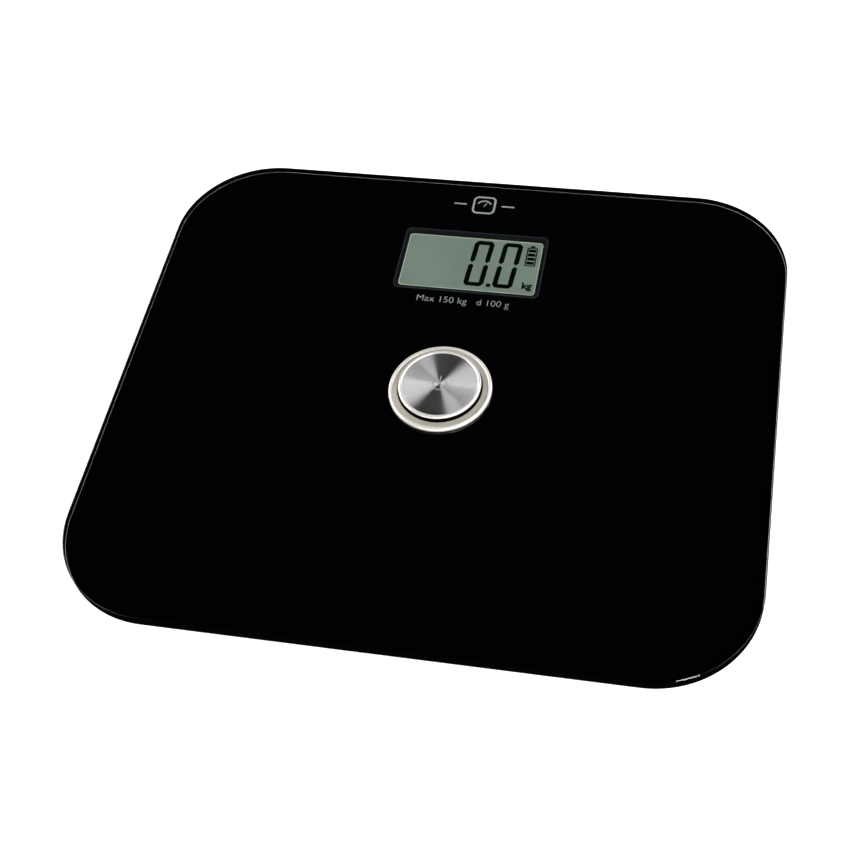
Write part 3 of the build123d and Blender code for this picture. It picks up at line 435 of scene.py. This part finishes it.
def letterMesh(text, width, centre, low, high, offset=0.0):
    # flat letters from the built-in face, scaled to a width in mm and raised between two heights
    curve = bpy.data.curves.new("letters", "FONT")
    curve.body = text
    curve.align_x = "CENTER"
    curve.align_y = "CENTER"
    curve.resolution_u = 4
    curve.offset = offset
    item = bpy.data.objects.new("letters", curve)
    bpy.context.scene.collection.objects.link(item)
    bpy.context.view_layer.update()
    mesh = bpy.data.meshes.new_from_object(item.evaluated_get(bpy.context.evaluated_depsgraph_get()))
    bpy.data.objects.remove(item)
    bpy.data.curves.remove(curve)
    xs = [v.co.x for v in mesh.vertices]
    ys = [v.co.y for v in mesh.vertices]
    scale = width * mm / (max(xs) - min(xs))
    middle = Vector(((max(xs) + min(xs)) / 2, (max(ys) + min(ys)) / 2, 0))
    mesh.transform(Matrix.Translation((centre[0] * mm, centre[1] * mm, low)) @ Matrix.Scale(scale, 4)
                   @ Matrix.Translation(-middle))
    bm = bmesh.new()
    bm.from_mesh(mesh)
    bmesh.ops.remove_doubles(bm, verts=bm.verts, dist=1e-7)
    raised = bmesh.ops.extrude_face_region(bm, geom=list(bm.faces))
    lifted = [g for g in raised["geom"] if isinstance(g, bmesh.types.BMVert)]
    bmesh.ops.translate(bm, verts=lifted, vec=(0, 0, high - low))
    bmesh.ops.recalc_face_normals(bm, faces=bm.faces)
    bm.to_mesh(mesh)
    bm.free()
    return mesh


def flatShape(loops, low, high):
    # one flat shape from loops of edges, drawn up between two heights
    bm = bmesh.new()
    edges = []
    for loop in loops:
        edges += loop(bm, low)
    fillAndRaise(bm, edges, high - low)
    mesh = bpy.data.meshes.new("flatShape")
    bm.to_mesh(mesh)
    bm.free()
    return mesh


def pointLoop(points):
    def draw(bm, z):
        verts = [bm.verts.new((x * mm, y * mm, z)) for x, y in points]
        return [bm.edges.new((verts[i - 1], verts[i])) for i in range(len(verts))]
    return draw


def boxLoop(width, depth, radius, centre, steps=6):
    def draw(bm, z):
        return roundedLoop(bm, width * mm, depth * mm, radius * mm, (centre[0] * mm, centre[1] * mm), z, steps)
    return draw


def bar(x, y, width, depth, radius):
    return [boxLoop(width, depth, radius, (x, y))]


def makeMark(name, meshes, material, body="base", replaced=()):
    bm = bmesh.new()
    for mesh in meshes:
        bm.from_mesh(mesh)
        bpy.data.meshes.remove(mesh)
    piece = makePiece(name, bm, [material])
    if replaced:
        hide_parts(*replaced)
    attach(piece, body)
    return piece


def makePrintedMarks(s):
    low = glassBottom
    high = glassBottom + s["rise"] * mm
    pale = flatPrintAndPaintedLight("paleGlassInk", {"colour": s["line"], "thin": "737675", "grainMm": 0.4, "roughness": 0.6})
    # grey flat colour for the ring round the window: a painted reflection of the frame's rim face
    rimReflection = flatPrintAndPaintedLight("paintedRimReflection", {"colour": s["border"], "thin": "1c2124", "grainMm": 0.4, "roughness": 0.6})

    # grey ring round the display window: painted reflection of the frame's rim face, printed as flat ink under
    # the glass
    centre = (0, ink["windowY"])
    inner = boxLoop(ink["windowWidth"] - 2 * s["borderWidth"], ink["windowDepth"] - 2 * s["borderWidth"],
                    ink["windowCorner"] - s["borderWidth"], centre, 8)
    outer = boxLoop(ink["windowWidth"], ink["windowDepth"], ink["windowCorner"], centre, 8)
    makeMark("windowRimReflection", [flatShape([outer, inner], low, high)], rimReflection)

    # capacity line under the window
    caption = letterMesh(s["caption"], s["captionWidth"], s["captionCentre"], low, high, -0.014)
    makeMark("capacityLine", [caption], pale)

    # plain pictogram of a scale: a rounded platform, a dial window and its needle, between two dashes
    x, y = s["iconCentre"]
    size, stroke, thin = s["iconSize"], s["iconStroke"], s["iconStroke"] * s["thinShare"]
    corner = size * s["iconCorner"]
    outline = flatShape([boxLoop(size, size, corner, (x, y)),
                         boxLoop(size - 2 * stroke, size - 2 * stroke, corner - stroke, (x, y))], low, high)
    pivot, radius = (x, y - s["dialDrop"]), s["dialRadius"]
    dial = arcPoints(pivot, radius, s["dialFrom"], s["dialTo"], s["dialSteps"])
    dialInner = arcPoints(pivot, radius - thin, s["dialTo"], s["dialFrom"], s["dialSteps"])
    window = flatShape([pointLoop(dial + dialInner)], low, high)
    needle = flatShape([pointLoop([(x + u, y + v) for u, v in s["needle"]])], low, high)
    reach = size / 2 + s["dashGap"] + s["dashLength"] / 2
    dashes = [flatShape(bar(x + side * reach, y, s["dashLength"], thin, stroke * 0.39), low, high)
              for side in (-1, 1)]
    makeMark("scalePictogram", [outline, window, needle, *dashes], pale)


makePrintedMarks(marks)
print("printed marks made")


display = {
    # edge is the colour of the painted highlight on the cell's glass edge
    "ground": "4c554e", "groundSecond": "535c55", "edge": "97a098", "ink": "010302",
    "width": 67.0, "depth": 33.8, "centreY": 78.9,
    "digitLefts": (-2.0, 12.1), "digitLow": 65.3, "digitHeight": 28.7, "digitWidth": 9.8, "slant": 0.062,
    "segment": 2.45, "segmentGap": 0.42, "rise": 0.03,
    "pointAt": (10.45, 66.4), "pointSize": 2.1,
    "batteryCentre": (28.3, 86.2), "batterySize": (5.2, 11.8), "batteryLine": 0.6, "batteryBars": 4,
    "batteryMargin": 0.2, "batteryGap": 0.75, "nubShare": 0.45, "nubHeight": 1.1, "nubRise": 0.65,
    "unitCentre": (28.9, 67.4), "unitWidth": 4.9, "sparkleMm": 0.35, "cloudMm": 30,
    "edgeLine": 0.4, "edgeInset": 0.35, "corner": 1.7,
}


def slanted(points, s):
    return [(x + (y - s["digitLow"]) * s["slant"], y) for x, y in points]


def segmentPoints(x, y, length, thickness, upright):
    # a long bar with mitred ends, about its middle
    half, side = length / 2, thickness / 2
    across = [(-half, 0), (-half + side, side), (half - side, side), (half, 0), (half - side, -side),
              (-half + side, -side)]
    return [(x + v, y + u) if upright else (x + u, y + v) for u, v in across]


def zeroSegments(left, s):
    # the six lit bars of a nought
    t, gap = s["segment"], s["segmentGap"]
    low, height, width = s["digitLow"], s["digitHeight"], s["digitWidth"]
    midX = left + width / 2
    bars = []
    for y in (low + t / 2, low + height - t / 2):
        bars.append(segmentPoints(midX, y, width - gap * 2, t, False))
    upLength = height / 2 - gap * 1.4
    for x in (left + t / 2, left + width - t / 2):
        for y in (low + height / 4 + gap * 0.2, low + height * 3 / 4 - gap * 0.2):
            bars.append(segmentPoints(x, y, upLength - gap, t, True))
    return [slanted(points, s) for points in bars]


def makeDisplay(s):
    low = lcdHigh.z
    high = low + s["rise"] * mm
    ground = liquidCrystal(s)
    plateLoop = boxLoop((lcdHigh.x - lcdLow.x) / mm, (lcdHigh.y - lcdLow.y) / mm, 0.3,
                        (0, (lcdHigh.y + lcdLow.y) / 2 / mm))
    plate = flatShape([plateLoop], lcdLow.z, lcdHigh.z)
    makeMark("lcdGround", [plate], ground, "base", ["lcd_polarizer"])

    # pale line just inside the frame: painted highlight of the cell's bevelled glass edge
    width, depth = s["width"] - 2 * s["edgeInset"], s["depth"] - 2 * s["edgeInset"]
    line = s["edgeLine"]
    centre = (0, s["centreY"])
    highlight = flatPrintAndPaintedLight("paintedCellEdgeHighlight", {"colour": s["edge"], "thin": "7a837b", "grainMm": 0.3, "roughness": 0.4})
    makeMark("lcdEdgeHighlight", [flatShape([boxLoop(width, depth, s["corner"], centre),
                                    boxLoop(width - 2 * line, depth - 2 * line, s["corner"] - line, centre)],
                                   low, high)], highlight)

    # black sheet with round corners over the cell's margin: painted shade of the recess between the frame and the
    # cell
    mask = flatPrintAndPaintedLight("paintedRecessShade", {"colour": "020202", "thin": "040404", "grainMm": 0.4, "roughness": 0.6})
    makeMark("lcdRecessShade", [flatShape([plateLoop, boxLoop(width, depth, s["corner"], centre)], low, high)], mask)

    shapes = []
    for left in s["digitLefts"]:
        shapes += zeroSegments(left, s)
    px, py = s["pointAt"]
    meshes = [flatShape([pointLoop(points)], low, high) for points in shapes]
    meshes.append(flatShape(bar(px, py, s["pointSize"], s["pointSize"], 0.4), low, high))
    bx, by = s["batteryCentre"]
    bw, bd = s["batterySize"]
    bl = s["batteryLine"]
    meshes.append(flatShape([boxLoop(bw, bd, 0.5, (bx, by)),
                             boxLoop(bw - 2 * bl, bd - 2 * bl, 0.2, (bx, by))], low, high))
    meshes.append(flatShape(bar(bx, by + bd / 2 + s["nubRise"], bw * s["nubShare"], s["nubHeight"], 0.25),
                            low, high))
    margin = s["batteryMargin"]
    pitch = (bd - 2 * bl - margin) / s["batteryBars"]
    for index in range(s["batteryBars"]):
        y = by - bd / 2 + bl + margin / 2 + pitch * (index + 0.5)
        meshes.append(flatShape(bar(bx, y, bw - 2 * bl - 2 * margin, pitch - s["batteryGap"], 0.2), low, high))
    meshes.append(letterMesh("kg", s["unitWidth"], s["unitCentre"], low, high, 0.04))
    dark = flatPrintAndPaintedLight("liquidCrystalSegment", {"colour": s["ink"], "thin": "020504", "grainMm": 0.5,
                                              "roughness": 0.5})
    makeMark("lcdSegments", meshes, dark)


makeDisplay(display)
print("display made")


ring = {
    "outer": 23.5, "beadWidth": 1.9, "beadRound": 0.75, "beadRise": 0.2, "dish": 0.25, "bore": 19.2, "top": 27.9,
    "boreRound": 0.35, "flangeBottom": 26.4, "sleeve": 21.2, "sleeveInner": 19.9, "stepZ": 25.0, "bottom": 17.4,
    "steps": 192,
}
cap = {
    "radius": 18.8, "discRadius": 17.2, "discDrop": 0.3, "lipMiddle": 17.89, "lipSide": 0.7, "rim": 1.2,
    "skin": 0.8, "wall": 0.8, "steps": 192, "discRings": 6, "signRadius": 3.5, "signStroke": 0.55,
    "signGap": 32, "signDepth": 0.01, "signHeight": 0.022,
}


def arcThrough(a, b, c, count):
    # points of the arc that starts at a, passes b and ends at c
    (ax, ay), (bx, by), (cx, cy) = a, b, c
    d = 2 * (ax * (by - cy) + bx * (cy - ay) + cx * (ay - by))
    sa, sb, sc = ax * ax + ay * ay, bx * bx + by * by, cx * cx + cy * cy
    ux = (sa * (by - cy) + sb * (cy - ay) + sc * (ay - by)) / d
    uy = (sa * (cx - bx) + sb * (ax - cx) + sc * (bx - ax)) / d
    radius = math.hypot(ax - ux, ay - uy)
    start = math.degrees(math.atan2(ay - uy, ax - ux))
    end = math.degrees(math.atan2(cy - uy, cx - ux))
    return arcPoints((ux, uy), radius, start, end, count)


def setSpunMaterials(piece, choose):
    for face in piece.data.polygons:
        face.material_index = choose(face.center.xy.length / mm, face.center.z / mm)


def makeButtonRing(s):
    top, outer = s["top"], s["outer"]
    beadStart = (outer - s["beadWidth"], top - s["dish"])
    bead = arcThrough(beadStart, (outer - s["beadRound"], top + s["beadRise"]), (outer, top - s["beadRound"]), 16)
    r = s["boreRound"]
    boreEdge = arcPoints((s["bore"] + r, top - r), r, 180, 90, 6)
    foot = arcPoints((outer - 0.15, s["flangeBottom"] + 0.15), 0.15, 0, -90, 4)
    outline = [(s["bore"], s["stepZ"]), *boreEdge, (s["bore"] + r + 0.25, top - 0.03),
               (beadStart[0] - 0.15, beadStart[1] + 0.01), *bead, (outer, top - s["beadRound"] - 0.1), *foot,
               (s["sleeve"], s["flangeBottom"]), (s["sleeve"], s["bottom"]), (s["sleeveInner"], s["bottom"]),
               (s["sleeveInner"], s["stepZ"])]
    bm = bmesh.new()
    spinProfile(bm, [(x * mm, z * mm) for x, z in outline], s["steps"])
    satin = turnedMetal("satinTurnedAluminium", {
        "colour": "cfcabd", "second": "c8c2b6", "ringMm": 0.25, "cloudMm": 6, "roughLow": 0.34, "roughHigh": 0.42,
        "anisotropic": 0.3, "rotation": 0.25, "metallic": 0.6, "depthMm": 0.01, "bump": 0.1})
    polished = turnedMetal("polishedAluminiumBead", {
        "colour": "e6e3dc", "second": "e0dcd5", "ringMm": 0.2, "cloudMm": 5, "roughLow": 0.26, "roughHigh": 0.34,
        "anisotropic": 0.0, "rotation": 0.0, "metallic": 0.45, "depthMm": 0.004, "bump": 0.06})
    thread = rolledMetal("blackenedThread", {
        "colour": "151515", "second": "1d1c1b", "lineMm": 0.5, "stretch": (1, 1, 2), "cloudMm": 3,
        "roughLow": 0.5, "roughHigh": 0.65, "depthMm": 0.02})
    piece = makePiece("buttonTrimRing", bm, [satin, polished, thread], 24)
    setSpunMaterials(piece, lambda radius, z: 2 if z < s["flangeBottom"] - 0.01 or radius < s["bore"] + 0.02
                     else 1 if radius > beadStart[0] else 0)
    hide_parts("button_ring")
    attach(piece, "base")


def makeButtonCap(s):
    top = capHigh.z / mm
    discTop = top - s["discDrop"]
    lipStart = (s["discRadius"], discTop)
    lip = arcThrough(lipStart, (s["lipMiddle"], top), (s["radius"], top - s["lipSide"]), 16)
    hem = arcPoints((s["radius"] - 0.15, top - s["rim"] + 0.15), 0.15, 0, -90, 4)
    outline = [(0, discTop), *[(s["discRadius"] * i / s["discRings"], discTop) for i in range(1, s["discRings"])],
               (s["discRadius"] - 0.1, discTop), *lip, *hem, (s["radius"] - s["wall"], top - s["rim"]),
               (s["radius"] - s["wall"], top - s["skin"]), (0, top - s["skin"])]
    bm = bmesh.new()
    spinProfile(bm, [(x * mm, z * mm) for x, z in outline], s["steps"])
    brushed = turnedMetal("circularBrushedSteel", {
        "colour": "cfcecf", "second": "c5c4c5", "ringMm": 0.22, "cloudMm": 4, "roughLow": 0.37, "roughHigh": 0.41,
        "anisotropic": 1.0, "rotation": 0.25, "metallic": 1.0, "depthMm": 0.004, "bump": 0.05})
    polished = turnedMetal("polishedSteelLip", {
        "colour": "dedbd6", "second": "d6d3ce", "ringMm": 0.2, "cloudMm": 5, "roughLow": 0.24, "roughHigh": 0.32,
        "anisotropic": 0.0, "rotation": 0.0, "metallic": 0.45, "depthMm": 0.004, "bump": 0.06})
    piece = makePiece("buttonCapMetal", bm, [brushed, polished], 20)
    setSpunMaterials(piece, lambda radius, z: 0 if radius < s["discRadius"] and z > discTop - 0.05 else 1)
    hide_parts("button_cap")
    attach(piece, "button")


def makeEtchedSign(s):
    # plain on-off sign, etched: a broken ring round a short bar
    low = capHigh.z - (s["discDrop"] + s["signDepth"]) * mm
    high = low + s["signHeight"] * mm
    radius, stroke = s["signRadius"], s["signStroke"]
    start, end = 90 + s["signGap"], 450 - s["signGap"]
    broken = arcPoints((0, 0), radius, start, end, 40) + arcPoints((0, 0), radius - stroke, end, start, 40)
    etched = turnedMetal("etchedSteel", {
        "colour": "a9a8a8", "second": "9f9e9e", "ringMm": 0.3, "cloudMm": 2, "roughLow": 0.55, "roughHigh": 0.65,
        "anisotropic": 0.0, "rotation": 0.0, "metallic": 0.7, "depthMm": 0.004, "bump": 0.1})
    makeMark("etchedSign", [flatShape([pointLoop(broken)], low, high),
                            flatShape(bar(0, radius * 0.72, stroke, radius * 1.1, stroke * 0.4), low, high)],
             etched, "button")


makeButtonRing(ring)
makeButtonCap(cap)
makeEtchedSign(cap)
print("button made")


def makeFinishes():
    # one finish for each slot of the record; the pattern sizes are in mm
    return {
        "tray_abs": mouldedPlastic("sparkErodedAbsTray", {
            "colour": "1d1d1f", "second": "212123", "grainMm": 0.7, "driftMm": 60, "roughLow": 0.5,
            "roughHigh": 0.62, "depthMm": 0.05}),
        "foot_abs": mouldedPlastic("mouldedAbsFoot", {
            "colour": "1a1a1c", "second": "1f1f21", "grainMm": 0.5, "driftMm": 25, "roughLow": 0.38,
            "roughHigh": 0.5, "depthMm": 0.03}),
        "housing_abs": mouldedPlastic("fineTexturedAbsFrame", {
            "colour": "030304", "second": "050506", "grainMm": 0.4, "driftMm": 20, "roughLow": 0.6,
            "roughHigh": 0.7, "depthMm": 0.02, "specular": 0.06}),
        "key_abs": mouldedPlastic("mouldedAbsKey", {
            "colour": "5a5b5e", "second": "616265", "grainMm": 0.3, "driftMm": 5, "roughLow": 0.4,
            "roughHigh": 0.5, "depthMm": 0.02}),
        "pom_plastic": mouldedPlastic("naturalAcetal", {
            "colour": "dcdbd4", "second": "d3d2ca", "grainMm": 0.6, "driftMm": 10, "roughLow": 0.28,
            "roughHigh": 0.38, "depthMm": 0.01, "ior": 1.48}),
        "component_epoxy": mouldedPlastic("mouldedEpoxyCase", {
            "colour": "161616", "second": "1b1b1b", "grainMm": 0.3, "driftMm": 3, "roughLow": 0.55,
            "roughHigh": 0.7, "depthMm": 0.02}),
        "potting_epoxy": mouldedPlastic("droppedBlackEpoxy", {
            "colour": "0b0b0c", "second": "0f0f10", "grainMm": 3.0, "driftMm": 6, "roughLow": 0.12,
            "roughHigh": 0.25, "depthMm": 0.05}),
        "capacitor_sleeve": mouldedPlastic("shrunkVinylSleeve", {
            "colour": "15254f", "second": "1a2b58", "grainMm": 1.2, "driftMm": 6, "roughLow": 0.2,
            "roughHigh": 0.32, "depthMm": 0.02}),
        "lead_pvc": mouldedPlastic("extrudedVinylInsulation", {
            "colour": "7a1b1b", "second": "6b1717", "grainMm": 1.0, "driftMm": 12, "roughLow": 0.35,
            "roughHigh": 0.45, "depthMm": 0.02}),
        "foam_tape": mouldedRubber("acrylicFoamTape", {
            "colour": "1b1b1b", "second": "242424", "dust": "4a4a48", "dustShare": 0.1, "grainMm": 0.35,
            "dustMm": 12, "roughLow": 0.8, "roughHigh": 0.95, "depthMm": 0.08}),
        "seal_rubber": mouldedRubber("mouldedSealRubber", {
            "colour": "0f0f10", "second": "141415", "dust": "3a3a38", "dustShare": 0.05, "grainMm": 0.3,
            "dustMm": 8, "roughLow": 0.6, "roughHigh": 0.75, "depthMm": 0.02}),
        "pad_rubber": mouldedRubber("mouldedPadRubber", {
            "colour": "2a2a2b", "second": "313132", "dust": "6b6a66", "dustShare": 0.18, "grainMm": 0.4,
            "dustMm": 9, "roughLow": 0.7, "roughHigh": 0.85, "depthMm": 0.05}),
        "potting_silicone": mouldedRubber("curedWhiteSilicone", {
            "colour": "dcdcd8", "second": "d0d0cb", "dust": "a8a8a2", "dustShare": 0.1, "grainMm": 0.6,
            "dustMm": 3, "roughLow": 0.35, "roughHigh": 0.5, "depthMm": 0.05}),
        "cell_steel": rolledMetal("nickelPlatedSpringPlate", {
            "colour": "b9b8b4", "second": "a9a8a4", "lineMm": 0.5, "stretch": (1, 6, 6), "cloudMm": 8,
            "roughLow": 0.3, "roughHigh": 0.45, "depthMm": 0.01}),
        "zinc_plated_steel": rolledMetal("zincPlatedSteel", {
            "colour": "c3c5c9", "second": "b3b4b3", "lineMm": 0.6, "stretch": (1, 1, 4), "cloudMm": 4,
            "roughLow": 0.28, "roughHigh": 0.42, "depthMm": 0.01}),
        "spring_steel": rolledMetal("drawnSpringSteel", {
            "colour": "a5a6a8", "second": "8f9092", "lineMm": 0.3, "stretch": (1, 1, 5), "cloudMm": 3,
            "roughLow": 0.22, "roughHigh": 0.35, "depthMm": 0.01}),
        "copper_winding": rolledMetal("enamelledCopperWire", {
            "colour": "b5643a", "second": "9c4f2b", "lineMm": 0.35, "stretch": (0.2, 1, 1), "cloudMm": 2,
            "roughLow": 0.25, "roughHigh": 0.4, "depthMm": 0.06}),
        "magnet_ferrite": rolledMetal("sinteredFerrite", {
            "colour": "3a3a3d", "second": "303033", "lineMm": 0.4, "stretch": (1, 1, 1), "cloudMm": 2,
            "roughLow": 0.5, "roughHigh": 0.7, "depthMm": 0.02}),
        "pinion_brass": rolledMetal("turnedBrass", {
            "colour": "c9a55c", "second": "b8934c", "lineMm": 0.3, "stretch": (1, 4, 1), "cloudMm": 2,
            "roughLow": 0.2, "roughHigh": 0.32, "depthMm": 0.01}),
        "reflector_foil": rolledMetal("brushedReflectorFoil", {
            "colour": "a9aea6", "second": "9fa59d", "lineMm": 0.4, "stretch": (8, 1, 1), "cloudMm": 15,
            "roughLow": 0.35, "roughHigh": 0.5, "depthMm": 0.01}),
        "board_laminate": circuitLaminate(),
        "lcd_glass": mouldedPlastic("liquidCrystalCellGlass", {
            "colour": "5f6b5f", "second": "667266", "grainMm": 2.0, "driftMm": 20, "roughLow": 0.08,
            "roughHigh": 0.15, "depthMm": 0.005, "ior": 1.52}),
    }


def finishNodes(finishes):
    slots = {}
    for part in frame["record"]["subparts"]:
        slots[part["node"]] = part["material_slot"]
    for name, node in nodes.items():
        material = finishes.get(slots[name])
        if material:
            for place in node.material_slots:
                place.material = material


finishes = makeFinishes()
finishNodes(finishes)
print("finishes set")

spring = {"radius": 5.0, "wire": 0.5, "turns": 6, "turnSteps": 36, "wireSteps": 10, "travel": 4.0}


def makeReturnSpring(s):
    # coil under the button; a real one shortens as the button goes down, this one keeps its length
    low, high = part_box("return_spring")
    wire, radius = s["wire"] * mm, s["radius"] * mm
    rise = high.z - low.z - 2 * wire
    steps = s["turns"] * s["turnSteps"]
    bm = bmesh.new()
    rings = []
    for i in range(steps + 1):
        turn = 2 * math.pi * i / s["turnSteps"]
        outward = Vector((math.cos(turn), math.sin(turn), 0))
        along = Vector((-math.sin(turn), math.cos(turn), rise / (s["turns"] * 2 * math.pi * radius))).normalized()
        across = along.cross(outward)
        place = Matrix((outward, across, along)).transposed().to_4x4()
        place.translation = outward * radius + Vector((0, 0, low.z + wire + rise * i / steps))
        made = bmesh.ops.create_circle(bm, cap_ends=i in (0, steps), radius=wire, segments=s["wireSteps"],
                                       matrix=place)
        rings.append(made["verts"])
    for first, second in zip(rings, rings[1:]):
        for j in range(s["wireSteps"]):
            k = (j + 1) % s["wireSteps"]
            bm.faces.new((first[j], first[k], second[k], second[j]))
    bmesh.ops.recalc_face_normals(bm, faces=bm.faces)
    piece = makePiece("returnSpring", bm, [finishes["spring_steel"]])
    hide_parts("return_spring")
    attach(piece, "base")
    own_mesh(piece)


makeReturnSpring(spring)
print("spring made")
